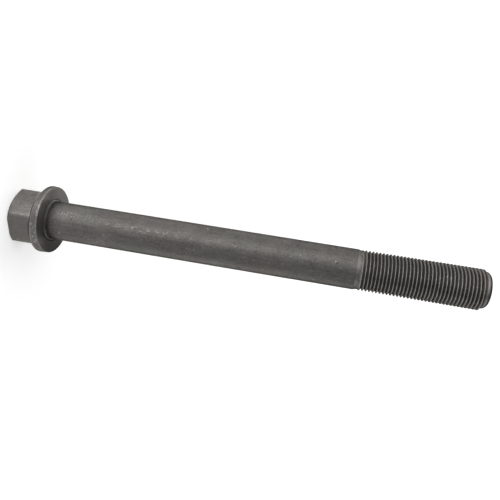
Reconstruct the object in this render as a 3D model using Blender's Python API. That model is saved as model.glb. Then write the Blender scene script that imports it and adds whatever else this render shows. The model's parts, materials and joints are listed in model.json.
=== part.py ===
"""Hex flange bolt with a plain shank and a fine right-hand thread, standing on its head.

Metres, +Z up. The head's end face is on the ground plane, its centre is the origin,
and the shank rises along +Z. The bolt is forged and rolled from one bar, so it is one solid.
"""

import math

import bmesh
import bpy

# Head
ACROSS_FLATS = 0.0238
HEAD_HEIGHT = 0.0160  # from the end face to the bearing face
END_FACE_DIAMETER = 0.0230
END_CHAMFER_ANGLE = math.radians(39)  # up from the end face

# Flange
FLANGE_OVERHANG = 0.0018  # how far the rim stands out past the hexagon's corners
RIM_HEIGHT = 0.0030  # from the rim's lower edge to the bearing face
SLOPE_ANGLE = math.radians(38)  # of the flange's back, up from the horizontal
RIM_BACK_ROUND = 0.0004
RIM_FRONT_ROUND = 0.0003
HEXAGON_FILLET = 0.0010  # where the flats run into the flange's back

# Shank
SHANK_DIAMETER = 0.0177
SHANK_FILLET = 0.0012  # under the head
LENGTH = 0.195  # from the bearing face to the tip

# Thread
THREAD_DIAMETER = 0.0177
PITCH = 0.0015
THREADED_LENGTH = 0.0540  # from the tip to the end of the plain shank
RUN_OUT_ANGLE = math.radians(30)  # of the cone from the shank down to the root, from the axis
TIP_DIAMETER = 0.0142
TIP_ANGLE = math.radians(30)  # of the cone at the tip, from the axis
FLANK_ANGLE = math.radians(30)
CREST_SHARE = 1 / 8  # of the pitch
DEPTH_SHARE = 0.6134  # of the pitch

# Facets
THREAD_COLUMNS = 24
HEAD_COLUMNS = 2 * THREAD_COLUMNS  # a multiple of 12, so that each corner and each flat has a column

# Worked out from the sizes above
SHANK_RADIUS = SHANK_DIAMETER / 2
APOTHEM = ACROSS_FLATS / 2
RIM_RADIUS = APOTHEM / math.cos(math.pi / 6) + FLANGE_OVERHANG
TOTAL_HEIGHT = HEAD_HEIGHT + LENGTH
THREAD_DEPTH = DEPTH_SHARE * PITCH
CREST_RADIUS = THREAD_DIAMETER / 2
ROOT_RADIUS = CREST_RADIUS - THREAD_DEPTH
SHANK_END = TOTAL_HEIGHT - THREADED_LENGTH
THREAD_START = SHANK_END + abs(SHANK_RADIUS - ROOT_RADIUS) / math.tan(RUN_OUT_ANGLE)


def clear_scene():
    for old in list(bpy.data.objects):
        bpy.data.objects.remove(old, do_unlink=True)


def phosphated_steel():
    """Dark grey conversion coating on steel."""
    material = bpy.data.materials.new("phosphated_steel")
    material.use_nodes = True
    shader = material.node_tree.nodes["Principled BSDF"]
    shader.inputs["Base Color"].default_value = (0.13, 0.122, 0.115, 1)
    shader.inputs["Metallic"].default_value = 0.8
    shader.inputs["Roughness"].default_value = 0.5
    return material


def arc(centre_r, centre_z, radius, start, end, steps):
    """Points (r, z) on an arc, both ends included. The angles are in radians, from outward."""
    points = []
    for step in range(steps + 1):
        angle = start + (end - start) * step / steps
        points.append((centre_r + radius * math.cos(angle), centre_z + radius * math.sin(angle)))
    return points


def hexagon_radius(angle):
    """Distance from the axis to the hexagon's side at this angle. A corner points along +X."""
    return APOTHEM / math.cos(angle % (math.pi / 3) - math.pi / 6)


def head_section(angle):
    """The bolt's outline (r, z) at this angle, from the end face's edge up to the end of the shank."""
    side = hexagon_radius(angle)
    chamfer_top = (side - END_FACE_DIAMETER / 2) * math.tan(END_CHAMFER_ANGLE)
    outline = [(END_FACE_DIAMETER / 2, 0), (side, chamfer_top)]

    # The flat curves out into the flange's sloped back.
    turn = math.pi / 2 - SLOPE_ANGLE
    rim_bottom = HEAD_HEIGHT - RIM_HEIGHT
    corner = rim_bottom - (RIM_RADIUS - side) * math.tan(SLOPE_ANGLE)
    fillet_drop = HEXAGON_FILLET * math.tan(turn / 2)
    outline += arc(
        side + HEXAGON_FILLET, corner - fillet_drop, HEXAGON_FILLET, math.pi, math.pi - turn, 3
    )

    # The slope rounds over into the rim, and the rim into the bearing face.
    round_rise = RIM_BACK_ROUND * math.tan(turn / 2)
    outline += arc(
        RIM_RADIUS - RIM_BACK_ROUND, rim_bottom + round_rise, RIM_BACK_ROUND, -turn, 0, 2
    )
    outline += arc(
        RIM_RADIUS - RIM_FRONT_ROUND,
        HEAD_HEIGHT - RIM_FRONT_ROUND,
        RIM_FRONT_ROUND,
        0,
        math.pi / 2,
        3,
    )

    # The bearing face runs in to the fillet at the foot of the shank.
    outline += arc(
        SHANK_RADIUS + SHANK_FILLET,
        HEAD_HEIGHT + SHANK_FILLET,
        SHANK_FILLET,
        -math.pi / 2,
        -math.pi,
        4,
    )
    outline.append((SHANK_RADIUS, SHANK_END))
    return outline


def ring_point(radius, height, angle):
    return (radius * math.cos(angle), radius * math.sin(angle), height)


def add_head_and_shank(bm):
    """Lofts the sections round the axis and returns the ring of vertices at the end of the shank."""
    columns = []
    for column in range(HEAD_COLUMNS):
        angle = 2 * math.pi * column / HEAD_COLUMNS
        section = head_section(angle)
        columns.append([bm.verts.new(ring_point(r, z, angle)) for r, z in section])
    bm.faces.new([column[0] for column in reversed(columns)])
    for index, column in enumerate(columns):
        following = columns[(index + 1) % HEAD_COLUMNS]
        for row in range(len(column) - 1):
            bm.faces.new([column[row], following[row], following[row + 1], column[row + 1]])
    return [column[-1] for column in columns]


def thread_point(column, row):
    """(r, z) of one point on the thread's surface.

    Four rows follow the helix side by side: the two edges of the root and the two of the crest.
    """
    flank = THREAD_DEPTH * math.tan(FLANK_ANGLE)
    crest = CREST_SHARE * PITCH
    edges = [
        (0, ROOT_RADIUS),
        (flank, CREST_RADIUS),
        (flank + crest, CREST_RADIUS),
        (2 * flank + crest, ROOT_RADIUS),
    ]
    turn, edge = divmod(row, len(edges))
    offset, radius = edges[edge]
    # The first turn and more lies below the thread's start, where it is pulled up onto it.
    height = THREAD_START + PITCH * (turn - 1 + column / THREAD_COLUMNS) - flank + offset
    nearly = 0.4 * PITCH / THREAD_COLUMNS
    if height < THREAD_START + nearly:
        return ROOT_RADIUS, THREAD_START
    if height > TOTAL_HEIGHT - nearly:
        return TIP_DIAMETER / 2, TOTAL_HEIGHT
    rolled = min(1, (height - THREAD_START) / PITCH)
    radius = ROOT_RADIUS + (radius - ROOT_RADIUS) * rolled
    cone = TIP_DIAMETER / 2 + (TOTAL_HEIGHT - height) * math.tan(TIP_ANGLE)
    return min(radius, cone), height


def add_thread(bm):
    """Rolls the helical ridge as one spiral sheet, closes the tip and returns the ring at its start."""
    turns = math.ceil((TOTAL_HEIGHT - THREAD_START) / PITCH) + 3
    rows = 4 * turns
    made = {}

    def vertex(column, row):
        # One turn on, the sheet meets itself a pitch higher.
        if column == THREAD_COLUMNS:
            column, row = 0, row + 4
        radius, height = thread_point(column, row)
        key = (column, height) if height in (THREAD_START, TOTAL_HEIGHT) else (column, row)
        if key not in made:
            angle = 2 * math.pi * column / THREAD_COLUMNS
            made[key] = bm.verts.new(ring_point(radius, height, angle))
        return made[key]

    for column in range(THREAD_COLUMNS):
        for row in range(rows):
            loop = [
                vertex(column, row),
                vertex(column + 1, row),
                vertex(column + 1, row + 1),
                vertex(column, row + 1),
            ]
            corners = list(dict.fromkeys(loop))
            if len(corners) > 2:
                bm.faces.new(corners)
    bm.faces.new([made[column, TOTAL_HEIGHT] for column in range(THREAD_COLUMNS)])
    return [made[column, THREAD_START] for column in range(THREAD_COLUMNS)]


def add_run_out(bm, shank_ring, root_ring):
    """The cone from the shank down to the thread's root. The shank has two facets to the thread's one."""
    for column, low in enumerate(root_ring):
        next_low = root_ring[(column + 1) % THREAD_COLUMNS]
        first = shank_ring[2 * column]
        middle = shank_ring[2 * column + 1]
        last = shank_ring[(2 * column + 2) % HEAD_COLUMNS]
        bm.faces.new([first, middle, low])
        bm.faces.new([middle, next_low, low])
        bm.faces.new([middle, last, next_low])


def build_flange_bolt():
    bm = bmesh.new()
    shank_ring = add_head_and_shank(bm)
    root_ring = add_thread(bm)
    add_run_out(bm, shank_ring, root_ring)
    bmesh.ops.recalc_face_normals(bm, faces=bm.faces)

    mesh = bpy.data.meshes.new("flange_bolt")
    bm.to_mesh(mesh)
    bm.free()
    mesh.shade_smooth()
    mesh.set_sharp_from_angle(angle=math.radians(28))
    bolt = bpy.data.objects.new("flange_bolt", mesh)
    bpy.context.scene.collection.objects.link(bolt)
    mesh.materials.append(phosphated_steel())
    return bolt


clear_scene()
build_flange_bolt()
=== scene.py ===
import json
import math
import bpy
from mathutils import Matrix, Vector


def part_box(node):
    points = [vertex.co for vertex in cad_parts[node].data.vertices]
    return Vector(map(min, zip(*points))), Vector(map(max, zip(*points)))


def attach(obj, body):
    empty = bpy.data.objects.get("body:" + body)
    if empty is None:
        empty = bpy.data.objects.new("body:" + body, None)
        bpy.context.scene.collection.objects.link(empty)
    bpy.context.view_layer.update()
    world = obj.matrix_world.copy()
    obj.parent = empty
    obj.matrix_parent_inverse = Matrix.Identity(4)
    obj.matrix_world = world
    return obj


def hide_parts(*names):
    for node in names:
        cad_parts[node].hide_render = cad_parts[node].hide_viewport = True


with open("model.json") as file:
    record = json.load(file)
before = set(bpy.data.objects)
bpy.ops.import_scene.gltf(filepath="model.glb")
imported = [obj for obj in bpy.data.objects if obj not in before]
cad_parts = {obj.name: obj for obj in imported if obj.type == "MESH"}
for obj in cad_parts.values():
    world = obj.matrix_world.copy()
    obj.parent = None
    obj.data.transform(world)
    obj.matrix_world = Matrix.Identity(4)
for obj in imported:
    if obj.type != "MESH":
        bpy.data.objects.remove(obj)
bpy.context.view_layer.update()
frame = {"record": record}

from types import SimpleNamespace

import bmesh
import bpy
from mathutils import Matrix, Vector

# A long flange bolt that stands on its head, with a dark phosphate finish.
# Metres, +Z up the shank. The head's end face is on the floor and its centre is the origin.

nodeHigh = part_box("flange_bolt")[1]
mounts = {mount["name"]: mount for mount in frame["record"]["mounts"]}


# Small helpers

def deselectAll():
    if bpy.context.mode != "OBJECT":
        bpy.ops.object.mode_set(mode="OBJECT")
    bpy.ops.object.select_all(action="DESELECT")


def polar(radius, height, angle):
    return Vector((radius * math.cos(angle), radius * math.sin(angle), height))


def angleOf(vertex):
    return (math.atan2(vertex.co.y, vertex.co.x) + 0.001) % (2 * math.pi)


def pullRing(obj, points):
    # the selected ring goes to these points, both taken in order round the axis
    mesh = bmesh.from_edit_mesh(obj.data)
    ring = sorted((vertex for vertex in mesh.verts if vertex.select), key=angleOf)
    for vertex, point in zip(ring, points):
        vertex.co = point
    bmesh.update_edit_mesh(obj.data)


def selectWhere(obj, wanted):
    # selects the vertices that lie where wanted says, and what they enclose
    mesh = bmesh.from_edit_mesh(obj.data)
    bpy.ops.mesh.select_mode(type="VERT")
    for vertex in mesh.verts:
        vertex.select_set(wanted(vertex.co))
    mesh.select_flush(True)
    bmesh.update_edit_mesh(obj.data)


def growRing(height, scale):
    # the selected loop of edges is extruded to a new height and size
    lift = {"value": (0, 0, height)}
    bpy.ops.mesh.extrude_region_move(TRANSFORM_OT_translate=lift)
    bpy.ops.transform.resize(value=(scale, scale, 1), center_override=(0, 0, 0))


def softLine(corners):
    # corners are (radius, height, rounding, steps of the arc, pieces of the way to the next one)
    line = []
    for index, (radius, height, rounding, steps, pieces) in enumerate(corners):
        here = Vector((radius, height))
        arc = [here]
        if rounding:
            back = (Vector(corners[index - 1][:2]) - here).normalized()
            ahead = (Vector(corners[index + 1][:2]) - here).normalized()
            half = back.angle(ahead) / 2
            middle = here + (back + ahead).normalized() * rounding / math.sin(half)
            start = here + back * rounding / math.tan(half) - middle
            turn = (math.pi - 2 * half) * (1 if start.cross(ahead) > 0 else -1)
            turns = [Matrix.Rotation(turn * step / steps, 2) for step in range(steps + 1)]
            arc = [middle + partTurn @ start for partTurn in turns]
        if line:
            way = arc[0] - line[-1]
            line += [line[-1] + way * step / divisions for step in range(1, divisions)]
        line += arc
        divisions = pieces
    return line


# The head and the shank: one ring after another is extruded and pulled to the outline

bolt = {
    "tip": nodeHigh.z,
    "bearing": mounts["bearing_face"]["pos_m"][2],
    "rim": nodeHigh.x,                 # radius of the flange
    "faceRings": (0.0010, 0.0030, 0.0050, 0.0070, 0.0085, 0.0095),  # rings on the flat end face
    "halfFlats": 0.01195,
    "hexagonShift": (0.00018, 30),     # the hexagon is a little off centre: how far, which way
    "cornerRound": 0.0005,             # between two flats
    "endFace": 0.01175,                # radius inside the chamfer
    "endShift": (0.00085, 14),         # the chamfer is a little off centre: how far, which way
    "endChamfer": math.radians(39),
    "leastChamfer": 0.00035,           # the chamfer is at least that wide
    "endFaceRound": 0.00035,
    "chamferRound": 0.00035,
    "rimHeight": 0.0032,
    "rimTaper": 0.0002,                # the rim is that much smaller at the bearing face
    "lean": (0.00080, 30),             # the rim's back is uneven: how much lower, on which side
    "slope": math.radians(38),         # back of the flange
    "slopeFillet": 0.0002,
    "backRound": 0.0004,
    "frontRound": 0.0003,
    "lip": 0.0093,                     # radius of the small step round the foot of the shank
    "lipHeight": 0.00012,
    "lipRound": 0.00006,
    "relief": 0.00868,                 # radius of the shallow groove above it
    "reliefRound": 0.00020,            # where the lip's top meets the groove
    "reliefRise": (0.0009, 0.0016),    # above the lip: the groove widens to the shank between these
    "reliefBlend": 0.0008,
    "shank": 0.00885,
    "neck": 0.00035,                   # how much the shank narrows just before the thread
    "neckLength": 0.0013,
    "neckRound": 0.0012,
    "threadedLength": 0.0540,
    "columns": 144,
}
thread = {
    "crest": bolt["shank"],
    "pitch": 0.0015,
    "depth": 0.00086,
    "flank": math.radians(30),
    "crestWidth": 0.00028,
    "crestRound": 0.00007,
    "rootRound": 0.00012,
    "lastCrest": 0.20780,              # height of the last whole crest, on the +X side
    "gap": 0.0001,                     # between the shank's end and the first ring of the thread
    "neckEnd": 0.0011,                 # height over which the narrowing fades out again
    "growth": 0.0022,                  # height over which the groove deepens from the shank on
    "cut": math.radians(60),           # how the last turn is cut down, from the axis
    "noseLength": 0.00205,
    "noseFoot": (0.00803, 0.00018),    # radius, and height above the nose's start
    "noseFootRound": 0.0001,
    "noseMiddle": (0.00785, 0.0009),   # radius, and distance from the tip
    "noseRound": 0.0009,
    "tipRadius": 0.0071,
    "tipRound": 0.0004,
    "tipRings": (0.0045, 0.0002),      # rings on the flat tip
}
hair = 0.000001                        # points closer than this count as one
lipTop = bolt["bearing"] + bolt["lipHeight"]
shankEnd = bolt["tip"] - bolt["threadedLength"]
root = thread["crest"] - thread["depth"]
threadStart = shankEnd + thread["gap"]
noseStart = bolt["tip"] - thread["noseLength"]


def columnAngles():
    # angles round the axis, closer together at the hexagon's corners
    perSide = bolt["columns"] // 6
    angles = []
    for side in range(6):
        for step in range(perSide):
            share = math.sin(math.pi * (step / perSide - 0.5))
            angles.append(math.pi / 3 * side + math.pi / 6 * (1 + share))
    return angles


def hexagonSide(angle):
    # distance from the axis to the side of the hexagon, whose corners are rounded
    flat = bolt["halfFlats"]
    soft = bolt["cornerRound"]
    fromFlat = angle % (math.pi / 3) - math.pi / 6
    arcStart = math.atan((flat - soft) * math.tan(math.pi / 6) / flat)
    offCentre, way = bolt["hexagonShift"]
    shift = offCentre * math.cos(angle - math.radians(way))
    if abs(fromFlat) < arcStart:
        return flat / math.cos(fromFlat) + shift
    centre = (flat - soft) / math.cos(math.pi / 6)
    off = math.pi / 6 - abs(fromFlat)
    return centre * math.cos(off) + math.sqrt(soft ** 2 - (centre * math.sin(off)) ** 2) + shift


def outlineAt(angle):
    # the bolt's outline at this angle, from the end face to the cone above the shank
    side = hexagonSide(angle)
    tan = math.tan
    shift, way = bolt["endShift"]
    endFace = bolt["endFace"] + shift * math.cos(angle - math.radians(way))
    endFace = min(endFace, side - bolt["leastChamfer"])
    chamferTop = (side - endFace) * tan(bolt["endChamfer"])
    drop, way = bolt["lean"]
    rimBack = bolt["bearing"] - bolt["rimHeight"] - drop * math.cos(angle - math.radians(way))
    slopeFoot = rimBack - (bolt["rim"] - side) * tan(bolt["slope"])
    reliefEnd, shankStart = bolt["reliefRise"]
    neckStart = shankEnd - bolt["neckLength"]
    return softLine([
        (bolt["faceRings"][-1], 0, 0, 0, 1),
        (endFace, 0, bolt["endFaceRound"], 4, 3),
        (side, chamferTop, bolt["chamferRound"], 4, 9),
        (side, slopeFoot, bolt["slopeFillet"], 8, 3),
        (bolt["rim"], rimBack, bolt["backRound"], 5, 2),
        (bolt["rim"] - bolt["rimTaper"], bolt["bearing"], bolt["frontRound"], 5, 7),
        (bolt["lip"] + bolt["lipHeight"], bolt["bearing"], bolt["lipRound"], 2, 1),
        (bolt["lip"], lipTop, bolt["lipRound"], 3, 1),
        (bolt["relief"], lipTop, bolt["reliefRound"], 4, 2),
        (bolt["relief"], lipTop + reliefEnd, bolt["reliefBlend"], 3, 1),
        (bolt["shank"], lipTop + shankStart, bolt["reliefBlend"], 3, 36),
        (bolt["shank"], neckStart, bolt["neckRound"], 4, 2),
        (bolt["shank"] - bolt["neck"], shankEnd, 0, 0, 1),
    ])


def modelHeadAndShank():
    deselectAll()
    angles = columnAngles()
    first, *middle = bolt["faceRings"][:-1]
    bpy.ops.mesh.primitive_circle_add(vertices=bolt["columns"], radius=first, fill_type="TRIFAN")
    body = bpy.context.object
    body.name = "forgedBody"
    bpy.ops.object.mode_set(mode="EDIT")
    bpy.ops.mesh.select_mode(type="EDGE")
    bpy.ops.mesh.region_to_loop()
    pullRing(body, [polar(first, 0, angle) for angle in angles])

    # the end face, whose last ring is where the outline starts
    for radius in middle:
        bpy.ops.mesh.extrude_region_move()
        pullRing(body, [polar(radius, 0, angle) for angle in angles])

    outlines = [outlineAt(angle) for angle in angles]
    for row in range(len(outlines[0])):
        bpy.ops.mesh.extrude_region_move()
        pullRing(body, [polar(*line[row], angle) for line, angle in zip(outlines, angles)])
    bpy.ops.object.mode_set(mode="OBJECT")
    print("head and shank:", len(outlines[0]), "rings,", len(body.data.polygons), "faces")
    return body


# The thread: the outline of one pitch, wound up the axis by a Screw modifier

def pitchOutline():
    # one pitch from root to root, as (radius, height)
    rise = thread["depth"] * math.tan(thread["flank"])
    gap = (thread["pitch"] - 2 * rise - thread["crestWidth"]) / 2
    top = gap + rise + thread["crestWidth"]
    line = softLine([
        (root, -gap, 0, 0, 1),
        (root, gap, thread["rootRound"], 2, 1),
        (thread["crest"], gap + rise, thread["crestRound"], 2, 1),
        (thread["crest"], top, thread["crestRound"], 2, 1),
        (root, top + rise, thread["rootRound"], 2, 1),
        (root, thread["pitch"] + gap, 0, 0, 1),
    ])
    line[0] = Vector((root, 0))
    line[-1] = Vector((root, thread["pitch"]))
    return line


def modelThread():
    deselectAll()
    pitch = thread["pitch"]
    crestMiddle = pitch / 2
    turnsBelow = math.ceil((thread["lastCrest"] - threadStart) / pitch) + 2
    start = thread["lastCrest"] - crestMiddle - turnsBelow * pitch
    outline = pitchOutline()

    # a plane merged to one vertex is the pen that draws the outline
    bpy.ops.mesh.primitive_plane_add(size=pitch, location=(0, 0, 0))
    spiral = bpy.context.object
    spiral.name = "threadSpiral"
    bpy.ops.object.mode_set(mode="EDIT")
    bpy.ops.mesh.select_mode(type="VERT")
    bpy.ops.mesh.select_all(action="SELECT")
    bpy.ops.mesh.merge(type="CENTER")
    bpy.ops.transform.translate(value=(outline[0].x, 0, start + outline[0].y))
    for here, there in zip(outline, outline[1:]):
        stroke = {"value": (there.x - here.x, 0, there.y - here.y)}
        bpy.ops.mesh.extrude_region_move(TRANSFORM_OT_translate=stroke)
    bpy.ops.object.mode_set(mode="OBJECT")

    screw = spiral.modifiers.new("winding", "SCREW")
    screw.screw_offset = pitch
    screw.iterations = turnsBelow + 4
    screw.steps = bolt["columns"]
    screw.render_steps = bolt["columns"]
    screw.use_merge_vertices = False
    bpy.ops.object.modifier_apply(modifier=screw.name)

    # the groove deepens from the shank on, and a cone cuts the last turn down
    for vertex in spiral.data.vertices:
        radius = vertex.co.xy.length
        grown = min(1, max(0, (vertex.co.z - threadStart) / thread["growth"]))
        cone = root - (vertex.co.z - noseStart) * math.tan(thread["cut"])
        neck = bolt["neck"] * max(0, 1 - (vertex.co.z - threadStart) / thread["neckEnd"])
        wanted = min(thread["crest"] - (thread["crest"] - radius) * grown - neck, cone)
        vertex.co.xy *= wanted / radius

    bpy.ops.object.mode_set(mode="EDIT")
    bpy.ops.mesh.select_all(action="SELECT")
    bpy.ops.mesh.remove_doubles(threshold=2 * hair)
    bpy.ops.mesh.bisect(
        plane_co=(0, 0, threadStart), plane_no=(0, 0, 1), clear_inner=True, threshold=hair
    )
    bpy.ops.mesh.select_all(action="SELECT")
    bpy.ops.mesh.bisect(
        plane_co=(0, 0, noseStart), plane_no=(0, 0, 1), clear_outer=True, threshold=hair
    )

    # the smooth rounded nose and the flat end
    selectWhere(spiral, lambda co: co.z > noseStart - hair)
    foot, footRise = thread["noseFoot"]
    middle, beforeTip = thread["noseMiddle"]
    outer, inner = thread["tipRings"]
    tipLine = softLine([
        (root, noseStart, 0, 0, 1),
        (foot, noseStart + footRise, thread["noseFootRound"], 3, 1),
        (middle, bolt["tip"] - beforeTip, thread["noseRound"], 5, 1),
        (thread["tipRadius"], bolt["tip"], thread["tipRound"], 5, 1),
        (outer, bolt["tip"], 0, 0, 2),
        (inner, bolt["tip"], 0, 0, 1),
    ])
    for here, there in zip(tipLine, tipLine[1:]):
        growRing(there.y - here.y, there.x / here.x)
    bpy.ops.mesh.merge(type="CENTER")
    bpy.ops.object.mode_set(mode="OBJECT")
    print("thread:", turnsBelow, "turns,", len(spiral.data.polygons), "faces")
    return spiral


def modelBolt():
    body = modelHeadAndShank()
    spiral = modelThread()
    deselectAll()
    spiral.select_set(True)
    body.select_set(True)
    bpy.context.view_layer.objects.active = body
    bpy.ops.object.join()

    # the two open rings meet in the run-out cone
    bpy.ops.object.mode_set(mode="EDIT")
    bpy.ops.mesh.select_mode(type="EDGE")
    bpy.ops.mesh.select_all(action="DESELECT")
    bpy.ops.mesh.select_non_manifold(
        use_wire=False, use_multi_face=False, use_non_contiguous=False, use_verts=False
    )
    bpy.ops.mesh.bridge_edge_loops()
    bpy.ops.mesh.select_all(action="SELECT")
    bpy.ops.mesh.remove_doubles(threshold=hair)
    bpy.ops.mesh.normals_make_consistent(inside=False)
    bpy.ops.object.mode_set(mode="OBJECT")
    bpy.ops.object.shade_smooth_by_angle(angle=math.radians(40))
    body.name = "coatedBolt"
    body.data.name = "coatedBolt"
    print("bolt:", len(body.data.polygons), "faces")
    return body


coatedBolt = modelBolt()
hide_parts("flange_bolt")
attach(coatedBolt, "root")


# Surfaces: shader maths is written as Python sums on sockets

def setStops(ramp, stops):
    # stops are (position, grey)
    for position, grey in stops[2:]:
        ramp.elements.new(position)
    for element, (position, grey) in zip(ramp.elements, stops):
        element.position = position
        element.color = (grey, grey, grey, 1)


class Wire:
    tree = None                        # the node tree that is being wired

    def __init__(self, socket):
        self.socket = socket

    @classmethod
    def node(cls, kind, settings=None, inputs=None, output=0):
        made = cls.tree.nodes.new(kind)
        for name, value in (settings or {}).items():
            if name == "stops":
                setStops(made.color_ramp, value)
            else:
                setattr(made, name, value)
        for name, value in (inputs or {}).items():
            if isinstance(value, Wire):
                cls.tree.links.new(value.socket, made.inputs[name])
            else:
                made.inputs[name].default_value = value
        return cls(made.outputs[output])

    def maths(self, operation, other, swapped=False):
        pair = {0: other, 1: self} if swapped else {0: self, 1: other}
        return Wire.node("ShaderNodeMath", {"operation": operation}, pair)

    def __add__(self, other):
        return self.maths("ADD", other)

    def __radd__(self, other):
        return self.maths("ADD", other)

    def __sub__(self, other):
        return self.maths("SUBTRACT", other)

    def __rsub__(self, other):
        return self.maths("SUBTRACT", other, True)

    def __mul__(self, other):
        return self.maths("MULTIPLY", other)

    def __rmul__(self, other):
        return self.maths("MULTIPLY", other)


def fade(value, start, end):
    # 0 at start and 1 at end, with soft ends
    settings = {"interpolation_type": "SMOOTHSTEP"}
    inputs = {"Value": value, "From Min": start, "From Max": end}
    return Wire.node("ShaderNodeMapRange", settings, inputs)


def blend(share, first, second):
    mixed = {0: share, 6: first, 7: second}
    return Wire.node("ShaderNodeMix", {"data_type": "RGBA"}, mixed, 2)


def larger(first, second):
    return first.maths("MAXIMUM", second)


def grain(place, scale, detail=2.0, rough=0.5):
    inputs = {"Vector": place, "Scale": scale, "Detail": detail, "Roughness": rough}
    return Wire.node("ShaderNodeTexNoise", None, inputs)


def stretched(place, factors):
    return Wire.node("ShaderNodeVectorMath", {"operation": "MULTIPLY"}, {0: place, 1: factors})


def band(value, middle, half, soft):
    # 1 from middle - half to middle + half, with soft edges
    rise = fade(value, middle - half - soft, middle - half)
    return rise - fade(value, middle + half, middle + half + soft)


def towards(place, angle):
    # how far each point lies in this direction (degrees) from the axis
    way = polar(1, 0, math.radians(angle))
    return Wire.node("ShaderNodeVectorMath", {"operation": "DOT_PRODUCT"}, {0: place, 1: way}, 1)


def sided(place, side, ragged=0):
    # grows from 0 to 1 towards one direction. side: the direction, where it starts and ends
    angle, start, end = side
    return fade(towards(place, angle) + ragged, start, end)


def patch(skin, spot):
    # an oval on the unrolled shank, 1 in its middle and fading out towards its edge
    turnRound, height, length, width, lean = spot
    centre = (math.radians(turnRound) * bolt["shank"], height / 1000, 0)
    inputs = {
        "Vector": skin,
        "Location": centre,
        "Rotation": (0, 0, math.radians(lean)),
        "Scale": (length / 2000, width / 2000, 1),
    }
    inside = Wire.node("ShaderNodeMapping", {"vector_type": "TEXTURE"}, inputs)
    far = Wire.node("ShaderNodeVectorMath", {"operation": "LENGTH"}, {0: inside}, 1)
    return fade(far, 1.0, 0.35)


def strokes(skin, spots):
    # small separate marks, each with its own strength
    total = None
    for spot in spots:
        mark = patch(skin, spot[:5]) * spot[5]
        total = mark if total is None else larger(total, mark)
    return total


def specks(place, scale, share, size):
    # round dots on a share of the cells
    inputs = {"Vector": place, "Scale": scale}
    distance = Wire.node("ShaderNodeTexVoronoi", None, inputs)
    chance = Wire(distance.socket.node.outputs["Color"])
    return fade(distance, size, size * 0.5) * fade(chance, 1 - share, 1.02 - share)


coat = {
    "dark": (0.102, 0.097, 0.093, 1),
    "light": (0.178, 0.169, 0.159, 1),
    "warm": (0.150, 0.132, 0.124, 1),
    "cool": (0.128, 0.134, 0.122, 1),
    # grains of the coat, in cells to a metre
    "patches": 130,
    "mottle": 900,
    "crystals": 2600,
    "streaks": 1500,
    "tint": 75,
    "streakStretch": (1, 1, 0.07),
    "toneShares": (0.24, 0.34, 0.26, 0.16),  # of patches, mottle, crystals and streaks
    "tone": (0.37, 0.63),              # their sum where the coat is dark, and where it is light
    "tinted": 0.55,                    # strength of the warm and cool patches
    "metallic": 0.85,
    "roughness": 0.38,
    "roughMottle": 0.14,               # how much rougher the mottle makes it
    "smoothMarks": 0.08,               # how much smoother a light mark is
    "roughDirt": 0.25,
    "edge": 0.15,                      # reflectance left at grazing angles
    "bump": 0.30,
    "bumpDepth": 0.0001,
}
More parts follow.
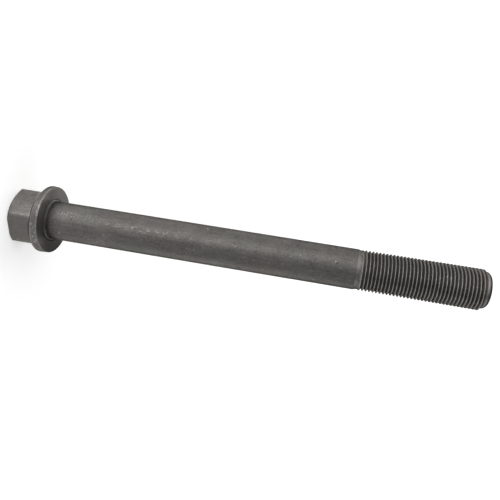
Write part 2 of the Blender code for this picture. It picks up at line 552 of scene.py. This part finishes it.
# light and dark marks on the coat: direction round the axis (degrees), height, length round the
# shank, width along it (mm), lean (degrees), and on the separate marks a strength. The first of the
# bright ones is a broad faint painted highlight beside the head, and the first of the pits a broad
# faint painted shade down one side of the shank
marks = {
    "bright": (
        # a broad faint painted highlight beside the head
        (-104.0, 27.0, 7.0, 34.0, 0, 0.10),
        (-22.6, 22.8, 1.1, 0.8, -20, 0.8),
        (-72.5, 45.0, 0.5, 0.9, 0, 0.45),
        (-76.5, 46.0, 0.5, 0.9, 15, 0.45),
        (-75.5, 56.8, 1.3, 0.7, -30, 0.8),
        (-71.0, 60.3, 0.8, 0.6, 40, 0.4),
        (-108.8, 45.9, 0.6, 0.6, 0, 0.45),
        (-108.2, 47.3, 0.6, 0.6, 0, 0.4),
        (-16.8, 36.7, 1.0, 0.6, 30, 0.4),
        (-73.5, 71.2, 1.2, 0.4, 40, 0.55),
        (-77.0, 72.6, 1.6, 0.4, -35, 0.55),
        (-75.0, 77.1, 0.6, 0.5, 0, 0.5),
        (-70.4, 83.6, 1.6, 0.45, -35, 0.55),
        (-113.4, 89.7, 2.2, 0.5, 35, 0.75),
        (-72.5, 102.2, 1.0, 0.4, 40, 0.6),
        (-69.5, 103.4, 1.7, 0.4, -35, 0.6),
        (-73.8, 146.6, 0.7, 1.1, 0, 0.8),
        (-101.8, 128.4, 0.6, 0.9, 0, 0.6),
        (-75.1, 131.6, 0.6, 0.9, 20, 0.6),
        (-25.5, 118.3, 0.7, 0.7, 0, 0.45),
        (-82.3, 192.3, 1.7, 0.5, 0, 1.0),
        (-80.2, 193.8, 1.7, 0.5, 0, 0.9),
        (-97.3, 191.9, 0.9, 0.5, 0, 0.5),
        (-21.8, 185.4, 1.1, 0.5, 0, 0.7),
        (-88.0, 15.4, 1.6, 0.5, 0, 0.5),
        (-79.5, 15.3, 1.4, 0.5, 0, 0.6),
        (-70.0, 15.1, 1.2, 0.6, 0, 0.7),
        (-63.3, 15.2, 0.7, 0.5, 0, 0.5),
        (-16.1, 14.2, 0.8, 1.1, 0, 1.0),
        (-26.7, 13.8, 0.6, 1.0, 20, 0.8),
        (-34.9, 15.0, 0.6, 0.9, 0, 0.75),
        (-43.3, 14.2, 0.7, 0.8, 0, 0.7),
        (-19.0, 12.2, 2.4, 0.7, 10, 0.7),
    ),
    "pits": (
        # a broad faint painted shade down one side of the shank
        (-40.0, 95.0, 9.0, 150.0, 0, 0.14),
        (-22.0, 45.1, 0.9, 0.9, 0, 0.9),
        (-70.7, 28.3, 0.9, 0.8, 0, 0.7),
        (-118.1, 32.7, 0.8, 0.8, 0, 0.6),
        (-86.4, 76.5, 0.7, 0.7, 0, 0.6),
        (-57.7, 130.8, 0.8, 0.8, 0, 0.6),
        (-70.2, 147.2, 1.0, 0.8, 0, 0.7),
        (-98.1, 135.4, 0.45, 12.0, 0, 0.35),
        (-100.0, 18.0, 1.0, 0.9, 0, 1.0),
        (-79.5, 206.9, 1.5, 0.8, 0, 1.0),
    ),
    "hatch": (-85.3, 26.0, 3.7, 16.0, 0),
    "hatchFaint": (-88.0, 37.0, 3.4, 15.0, 0),
    "faintShare": 0.6,
    "hatchPitch": 0.00122,             # metres from line to line
    "hatchLean": -20.0,
    "hatchGrain": 1100,
    "hatched": 0.55,
    # flecks only where the shank's highlight runs: painted glints
    "flecks": (-73.5, 60.0, 3.2, 32.0, 0),
    "fleckGrain": 1500,
    "flecked": 0.38,
    "sparks": (520, 0.22, 0.30),       # cells to a metre, share of them with a speck, its size
    "sparked": 0.22,
    "scuffGrain": 240,
    "scuffed": 0.25,
    "stretch": (1, 1, 0.3),            # flecks and scuffs run along the shank
}
# wear, and painted light, shade and highlights
wearAndPaintedLight = {
    "colour": (0.420, 0.410, 0.385, 1),
    # colours of the painted light and shade on the bearing face
    "bearingLight": (0.250, 0.240, 0.228, 1),
    "bearingDark": (0.060, 0.054, 0.055, 1),
    # sides: direction from the axis (degrees), and how far out the change starts and ends
    # painted light and shade on the bearing face
    "rubbedSide": (165, -0.002, 0.013),
    "halfRubbedSide": (-60, 0.003, 0.013),
    "darkSide": (20, 0.002, 0.013),
    # painted light on one flat of the hexagon and one side of the rim
    "lightFlat": (-30, 0.0098, 0.0106),
    "lightRim": (-10, 0.0060, 0.0150),
    # painted highlight on one side of the rim's edge
    "brightEdge": (-105, 0.004, 0.014),
    # painted highlight on the crests' lit side
    "rubbedThread": (-42, 0.0074, 0.0086),
    # strengths
    # strengths of the painted light and shade on the bearing face
    "rubbed": 0.85,
    "halfRubbed": 0.7,
    "darkened": 0.55,
    # painted light on the flange's back
    "flangeBack": 0.35,
    "lighter": 0.12,                   # painted light on the light flat and the light side of the rim
    "rimEdge": 0.25,
    "brighter": 0.35,                  # painted highlight added on one side of the rim's edge
    # painted highlight along the rim's back rounding
    "rimBack": 0.3,
    "rimSpot": 0.5,
    "lightRimSpot": 0.3,               # painted light added to the spots on the light side of the rim
    "corners": 0.3,
    "crests": 0.26,
    "rubbedCrests": 0.42,              # painted highlight added on the crests' lit side
    "noseFoot": 0.22,
    # painted highlight on the lip's edge
    "lipEdge": 0.32,
    # places
    "ragged": 0.010,                   # how far the mottle moves the edge of the painted light on the bearing face
    "backFoot": (0.0098, 0.0110),      # heights between which the flange's back begins
    "corner": (0.0132, 0.0135),        # radii between which a corner of the hexagon begins
    "cornerEnd": (0.0108, 0.0100),     # heights between which it ends
    "rimSpots": (620, 0.35, 0.42),     # cells to a metre, share of them with a spot, its size
    "grain": 800,
}
# dark marks and painted shade: dirt, pits and the nose's end, with painted shade in the grooves, at
# the shank's foot, beside the lip and at the foot of one flat
grimeAndPaintedShade = {
    "colour": (0.022, 0.018, 0.020, 1),
    # painted shade in the thread's grooves
    "groove": 0.60,
    # painted shade at the shank's foot and beside the lip
    "foot": 0.15,
    "besideLip": 0.7,
    # a thin line of painted shade where one flat meets the flange's back
    "seam": 0.12,
    "seamPlace": (0.01295, 0.0111, -0.0155),  # radius, height and way round of its middle
    "seamHalf": (0.00006, 0.0010, 0.0035),    # half its width along each of them
    "seamSoft": (0.00014, 0.0004, 0.0015),    # and how soft its edges are
    "pitSpecks": (330, 0.25, 0.16),    # cells to a metre, share of them with a pit, its size
    "pit": 0.5,
    "tipEnd": 0.30,
}


def surfacePoint():
    # what the shader works out for each point: where it is, and the grain of the coat there
    at = SimpleNamespace()
    at.place = Wire.node("ShaderNodeTexCoord", None, None, 3)
    east = Wire.node("ShaderNodeSeparateXYZ", None, {0: at.place}, 0)
    north = Wire.node("ShaderNodeSeparateXYZ", None, {0: at.place}, 1)
    at.height = Wire.node("ShaderNodeSeparateXYZ", None, {0: at.place}, 2)
    flat = stretched(at.place, (1, 1, 0))
    at.radius = Wire.node("ShaderNodeVectorMath", {"operation": "LENGTH"}, {0: flat}, 1)
    at.around = north.maths("ARCTAN2", east) * bolt["shank"]
    at.skin = Wire.node("ShaderNodeCombineXYZ", None, {0: at.around, 1: at.height})
    at.patches = grain(at.place, coat["patches"], 3.0)
    at.mottle = grain(at.place, coat["mottle"], 3.0, 0.6)
    at.crystals = grain(at.place, coat["crystals"])
    at.streaks = grain(stretched(at.place, coat["streakStretch"]), coat["streaks"])
    at.inThread = fade(at.height, threadStart, threadStart + 0.0012)
    return at


def coatColour(at):
    # the coat's own tone, with warm and cool patches
    patches, mottle, crystals, streaks = coat["toneShares"]
    tone = at.patches * patches + at.mottle * mottle + at.crystals * crystals + at.streaks * streaks
    colour = blend(fade(tone, *coat["tone"]), coat["dark"], coat["light"])
    tint = grain(at.place, coat["tint"])
    colour = blend(fade(tint, 0.54, 0.70) * coat["tinted"], colour, coat["warm"])
    return blend(fade(tint, 0.46, 0.32) * coat["tinted"], colour, coat["cool"])


def bearingColour(at, colour):
    # painted light and shade: the bearing face is lighter on two sides and darker on a third
    face = band(at.height, bolt["bearing"], 0.00006, 0.00010)
    face = face * fade(at.radius, bolt["rim"] - 0.0003, bolt["rim"] - 0.0007)
    dark = face * sided(at.place, wearAndPaintedLight["darkSide"]) * wearAndPaintedLight["darkened"]
    colour = blend(dark, colour, wearAndPaintedLight["bearingDark"])
    ragged = (at.mottle - 0.5) * wearAndPaintedLight["ragged"]
    rubbed = sided(at.place, wearAndPaintedLight["rubbedSide"], ragged) * wearAndPaintedLight["rubbed"]
    rubbed = larger(rubbed, sided(at.place, wearAndPaintedLight["halfRubbedSide"]) * wearAndPaintedLight["halfRubbed"])
    return blend(face * rubbed, colour, wearAndPaintedLight["bearingLight"])


def headColour(at, colour, lightRim):
    # painted light: the flange's back, one flat of the hexagon and one side of the rim are a little
    # lighter
    onHead = fade(at.height, bolt["bearing"] - 0.0030, bolt["bearing"] - 0.0036)
    flangeBack = fade(at.height, *wearAndPaintedLight["backFoot"]) * onHead
    lightFlat = sided(at.place, wearAndPaintedLight["lightFlat"]) * onHead
    colour = blend(flangeBack * wearAndPaintedLight["flangeBack"], colour, wearAndPaintedLight["colour"])
    return blend(larger(lightFlat, lightRim) * wearAndPaintedLight["lighter"], colour, wearAndPaintedLight["colour"])


def lightSideOfRim(at):
    # painted light: one side of the rim is lighter
    side = sided(at.place, wearAndPaintedLight["lightRim"])
    side = side * fade(at.radius, bolt["rim"] - 0.0006, bolt["rim"] - 0.0003)
    return side * fade(at.height, bolt["bearing"], bolt["bearing"] - 0.0004)


def lightMarksAndGlints(at):
    # the hatch beside the head, separate strokes, small specks and scuffs, and flecks painted only
    # where the shank's highlight runs, as glints; the first stroke is a broad painted highlight
    onShank = fade(at.height, bolt["bearing"] + 0.001, bolt["bearing"] + 0.006)
    hatched = Wire.node("ShaderNodeMapping", {"vector_type": "TEXTURE"}, {
        "Vector": at.skin,
        "Rotation": (0, 0, math.radians(marks["hatchLean"])),
        "Scale": (1, marks["hatchPitch"] / (2 * math.pi), 1),
    })
    across = Wire.node("ShaderNodeSeparateXYZ", None, {0: hatched}, 1)
    lines = fade(across.maths("SINE", 0), 0.1, 0.9)
    hatchPlace = patch(at.skin, marks["hatch"])
    hatchPlace = hatchPlace + patch(at.skin, marks["hatchFaint"]) * marks["faintShare"]
    hatch = lines * hatchPlace * fade(grain(at.place, marks["hatchGrain"], 1.0), 0.35, 0.6)
    along = stretched(at.place, marks["stretch"])
    fleckGrain = grain(along, marks["fleckGrain"], 1.0)
    # painted glints: flecks only in the band of the shank's highlight
    flecks = patch(at.skin, marks["flecks"]) * fade(fleckGrain, 0.54, 0.68)
    sparks = specks(at.place, *marks["sparks"]) * onShank
    scuffs = fade(grain(along, marks["scuffGrain"], 2.0, 0.6), 0.62, 0.74)
    bright = larger(strokes(at.skin, marks["bright"]), hatch * marks["hatched"])
    bright = larger(bright, flecks * marks["flecked"])
    bright = larger(bright, sparks * marks["sparked"])
    return larger(bright, scuffs * fleckGrain * marks["scuffed"])


def wornAndLitEdges(at, lightRim):
    # worn lighter: the flange's rim, the hexagon's corners and the thread's crests; the nose's foot
    # lighter; painted highlights on one side of the rim's edge, along the rim's back, on the
    # crests' lit side and on the lip's edge, and painted light on the rim's spots on its light side
    rim = bolt["rim"]
    bearing = bolt["bearing"]
    crestRadius = thread["crest"]
    patchy = fade(grain(at.place, wearAndPaintedLight["grain"], 2.0, 0.6), 0.40, 0.60)
    rimEdge = fade(at.radius, rim - 0.0004, rim - 0.0001)
    rimEdge = rimEdge * fade(at.height, bearing - 0.0010, bearing - 0.0004)
    # the rim's edge is worn lighter all round, with a painted highlight added on one side
    rimEdge = rimEdge * (wearAndPaintedLight["rimEdge"] + sided(at.place, wearAndPaintedLight["brightEdge"]) * wearAndPaintedLight["brighter"])
    # painted highlight along the rim's back rounding
    rimBack = band(at.height, bearing - bolt["rimHeight"], 0.0002, 0.0003)
    rimBack = rimBack * fade(at.radius, rim - 0.0006, rim - 0.0002)
    wornAndLit = larger(rimEdge, rimBack * wearAndPaintedLight["rimBack"]) * (0.4 + patchy * 0.6)

    rimSpots = specks(at.place, *wearAndPaintedLight["rimSpots"]) * fade(at.radius, rim - 0.0008, rim)
    # worn spots on the rim, with painted light added on its light side
    wornAndLit = larger(wornAndLit, rimSpots * (wearAndPaintedLight["rimSpot"] + lightRim * wearAndPaintedLight["lightRimSpot"]))
    corner = fade(at.radius, *wearAndPaintedLight["corner"]) * fade(at.height, *wearAndPaintedLight["cornerEnd"])
    wornAndLit = larger(wornAndLit, corner * patchy * wearAndPaintedLight["corners"])

    crest = at.inThread * fade(at.radius, crestRadius - 0.00016, crestRadius - 0.00004)
    # crests worn lighter all round, with a painted highlight on their lit side
    crestShare = wearAndPaintedLight["crests"] + sided(at.place, wearAndPaintedLight["rubbedThread"]) * wearAndPaintedLight["rubbedCrests"]
    wornAndLit = larger(wornAndLit, crest * (0.6 + patchy * 0.4) * crestShare)
    noseFoot = band(at.height, noseStart + 0.00010, 0.00025, 0.00025)
    wornAndLit = larger(wornAndLit, noseFoot * wearAndPaintedLight["noseFoot"])
    # painted highlight on the lip's edge
    lipEdge = band(at.radius, bolt["lip"], 0.00009, 0.0001)
    lipEdge = lipEdge * band(at.height, lipTop, 0.00010, 0.0001)
    return larger(wornAndLit, lipEdge * wearAndPaintedLight["lipEdge"])


def dirtAndShadeIn(at, pits):
    # darker: pits, the separate dark marks and the nose's end, with painted shade in the thread's
    # grooves, at the shank's foot, beside the lip, at the foot of one flat and in the first dark
    # mark
    # painted shade deepening into the thread's grooves
    depth = fade(at.radius, thread["crest"] - 0.00030, root + 0.00005)
    groove = at.inThread * depth * fade(at.height, noseStart, noseStart - 0.00018)
    # painted shade in the recess at the shank's foot
    foot = fade(at.radius, bolt["lip"] - 0.0001, bolt["lip"] - 0.0002)
    foot = foot * fade(at.height, bolt["bearing"] + 0.0013, bolt["bearing"] + 0.0005)
    # a thin painted shadow round the lip on the bearing face
    besideLip = band(at.radius, bolt["lip"] + 0.0004, 0.0001, 0.0003)
    besideLip = besideLip * band(at.height, bolt["bearing"], 0.0001, 0.0002)
    # a thin line of painted shade where one flat meets the flange's back
    radii, heights, ways = zip(grimeAndPaintedShade["seamPlace"], grimeAndPaintedShade["seamHalf"], grimeAndPaintedShade["seamSoft"])
    seam = band(at.radius, *radii) * band(at.height, *heights) * band(at.around, *ways)
    tipEnd = fade(at.height, noseStart + 0.0006, noseStart + 0.0011)
    dirtAndShade = larger(groove * grimeAndPaintedShade["groove"], foot * grimeAndPaintedShade["foot"])
    dirtAndShade = larger(dirtAndShade, besideLip * grimeAndPaintedShade["besideLip"])
    dirtAndShade = larger(dirtAndShade, seam * grimeAndPaintedShade["seam"])
    dirtAndShade = larger(dirtAndShade, pits * grimeAndPaintedShade["pit"])
    dirtAndShade = larger(dirtAndShade, tipEnd * grimeAndPaintedShade["tipEnd"])
    # the separate dark marks, the first a broad painted shade
    return larger(dirtAndShade, strokes(at.skin, marks["pits"]))


def phosphateCoat():
    material = bpy.data.materials.new("phosphateCoat")
    material.use_nodes = True
    Wire.tree = material.node_tree
    shader = material.node_tree.nodes["Principled BSDF"]
    at = surfacePoint()
    lightRim = lightSideOfRim(at)
    # light marks and worn edges, with painted highlights and glints
    bright = larger(lightMarksAndGlints(at), wornAndLitEdges(at, lightRim))
    pits = specks(at.place, *grimeAndPaintedShade["pitSpecks"])
    # darker places: dirt and pits, with painted shade
    dirtAndShade = dirtAndShadeIn(at, pits)
    colour = bearingColour(at, coatColour(at))
    colour = headColour(at, colour, lightRim)
    colour = blend(bright, colour, wearAndPaintedLight["colour"])
    colour = blend(dirtAndShade, colour, grimeAndPaintedShade["colour"])
    material.node_tree.links.new(colour.socket, shader.inputs["Base Color"])

    rough = coat["roughness"] + (at.mottle - 0.5) * coat["roughMottle"]
    rough = rough - bright * coat["smoothMarks"] + dirtAndShade * coat["roughDirt"]
    material.node_tree.links.new(rough.socket, shader.inputs["Roughness"])
    shader.inputs["Metallic"].default_value = coat["metallic"]
    shader.inputs["Specular Tint"].default_value = (coat["edge"],) * 3 + (1,)
    relief = at.mottle + at.crystals * 0.5 + at.streaks * 0.3 - pits
    bumps = {"Strength": coat["bump"], "Distance": coat["bumpDepth"], "Height": relief}
    bump = Wire.node("ShaderNodeBump", None, bumps)
    material.node_tree.links.new(bump.socket, shader.inputs["Normal"])
    return material


coatedBolt.data.materials.clear()
coatedBolt.data.materials.append(phosphateCoat())
print("coat done")


# The stage: pale floor, soft panels of light round the bolt, camera

studio = {
    "lens": 38.583,
    "lensPlace": (0.11361, -0.20752, 0.13769),
    "lensTurn": (-52.977, -78.435, 172.450),
    "floorSize": 6.0,
    "floorGrey": 0.8,
    "floorGlow": 0.46,                 # keeps the floor white for the lens
    "backdrop": 1.2,                   # and what lies behind it
    "power": 3.0,
    # panels of light: direction from the bolt, half the lit width, soft edge (degrees), brightness
    "lowPanels": ((60, 2, 30, 0.33), (-95, 0, 35, 0.38), (162, 0, 55, 0.36)),
    "lowFill": 0.07,                   # the light between them
    "highPanels": ((37, 18, 35, 0.50), (-108, 25, 50, 0.85), (152, 5, 40, 0.80)),
    "highFill": 0.03,
    "overhead": 0.02,
    "highFrom": (0.1, 0.5),            # how steeply up it is to where the high panels take over
    "overheadFrom": (0.6, 0.9),        # and to where the overhead light does
    "steps": 12,                       # steps in which the light is laid round the bolt
}


def addCamera():
    turn = [math.radians(angle) for angle in studio["lensTurn"]]
    bpy.ops.object.camera_add(location=studio["lensPlace"], rotation=turn)
    camera = bpy.context.object
    camera.data.lens = studio["lens"]
    camera.data.clip_start = 0.01
    bpy.context.scene.camera = camera


def addFloor():
    bpy.ops.mesh.primitive_plane_add(size=studio["floorSize"], location=(0, 0, 0))
    floor = bpy.context.object
    floor.name = "floor"
    material = bpy.data.materials.new("paleFloor")
    material.use_nodes = True
    Wire.tree = material.node_tree
    shader = material.node_tree.nodes["Principled BSDF"]
    shader.inputs["Base Color"].default_value = (studio["floorGrey"],) * 3 + (1,)
    shader.inputs["Roughness"].default_value = 0.8
    shader.inputs["Specular IOR Level"].default_value = 0.1
    shader.inputs["Emission Strength"].default_value = studio["power"]
    # the floor gives the same low light as what lies beyond it
    place = Wire.node("ShaderNodeTexCoord", None, None, 3)
    light = roundTheBolt(place, studio["lowFill"], studio["lowPanels"])
    seen = Wire.node("ShaderNodeLightPath")
    glow = blend(seen, light, (studio["floorGlow"] / studio["power"],) * 3 + (1,))
    material.node_tree.links.new(glow.socket, shader.inputs["Emission Color"])
    floor.data.materials.append(material)


def lightFrom(direction, fill, panels):
    # brightness in one direction: the fill and every panel that reaches so far
    level = fill
    for middle, half, soft, brightness in panels:
        off = abs((direction - middle + 180) % 360 - 180)
        level += brightness * min(1, max(0, (half + soft - off) / soft))
    return level


def roundTheBolt(way, fill, panels):
    # the light that comes from each direction round the bolt, as a grey
    east = Wire.node("ShaderNodeSeparateXYZ", None, {0: way}, 0)
    north = Wire.node("ShaderNodeSeparateXYZ", None, {0: way}, 1)
    turn = north.maths("ARCTAN2", east) * (0.5 / math.pi) + 0.5
    stops = []
    for step in range(studio["steps"] + 1):
        share = step / studio["steps"]
        stops.append((share, lightFrom(share * 360 - 180, fill, panels)))
    return Wire.node("ShaderNodeValToRGB", {"stops": stops}, {0: turn})


def addWorld():
    # soft light whose strength depends on the direction round the bolt and on the height
    world = bpy.data.worlds.new("studio")
    bpy.context.scene.world = world
    world.use_nodes = True
    Wire.tree = world.node_tree
    way = Wire.node("ShaderNodeTexCoord")
    height = Wire.node("ShaderNodeSeparateXYZ", None, {0: way}, 2)
    low = roundTheBolt(way, studio["lowFill"], studio["lowPanels"])
    high = roundTheBolt(way, studio["highFill"], studio["highPanels"])
    overhead = (studio["overhead"],) * 3 + (1,)
    shade = blend(fade(height, *studio["highFrom"]), low, high)
    shade = blend(fade(height, *studio["overheadFrom"]), shade, overhead)
    seen = Wire.node("ShaderNodeLightPath")
    sky = blend(seen, shade, (studio["backdrop"] / studio["power"],) * 3 + (1,))
    background = world.node_tree.nodes["Background"]
    background.inputs["Strength"].default_value = studio["power"]
    world.node_tree.links.new(sky.socket, background.inputs["Color"])


addCamera()
addFloor()
addWorld()
bpy.context.scene.view_settings.view_transform = "Standard"
print("stage done")
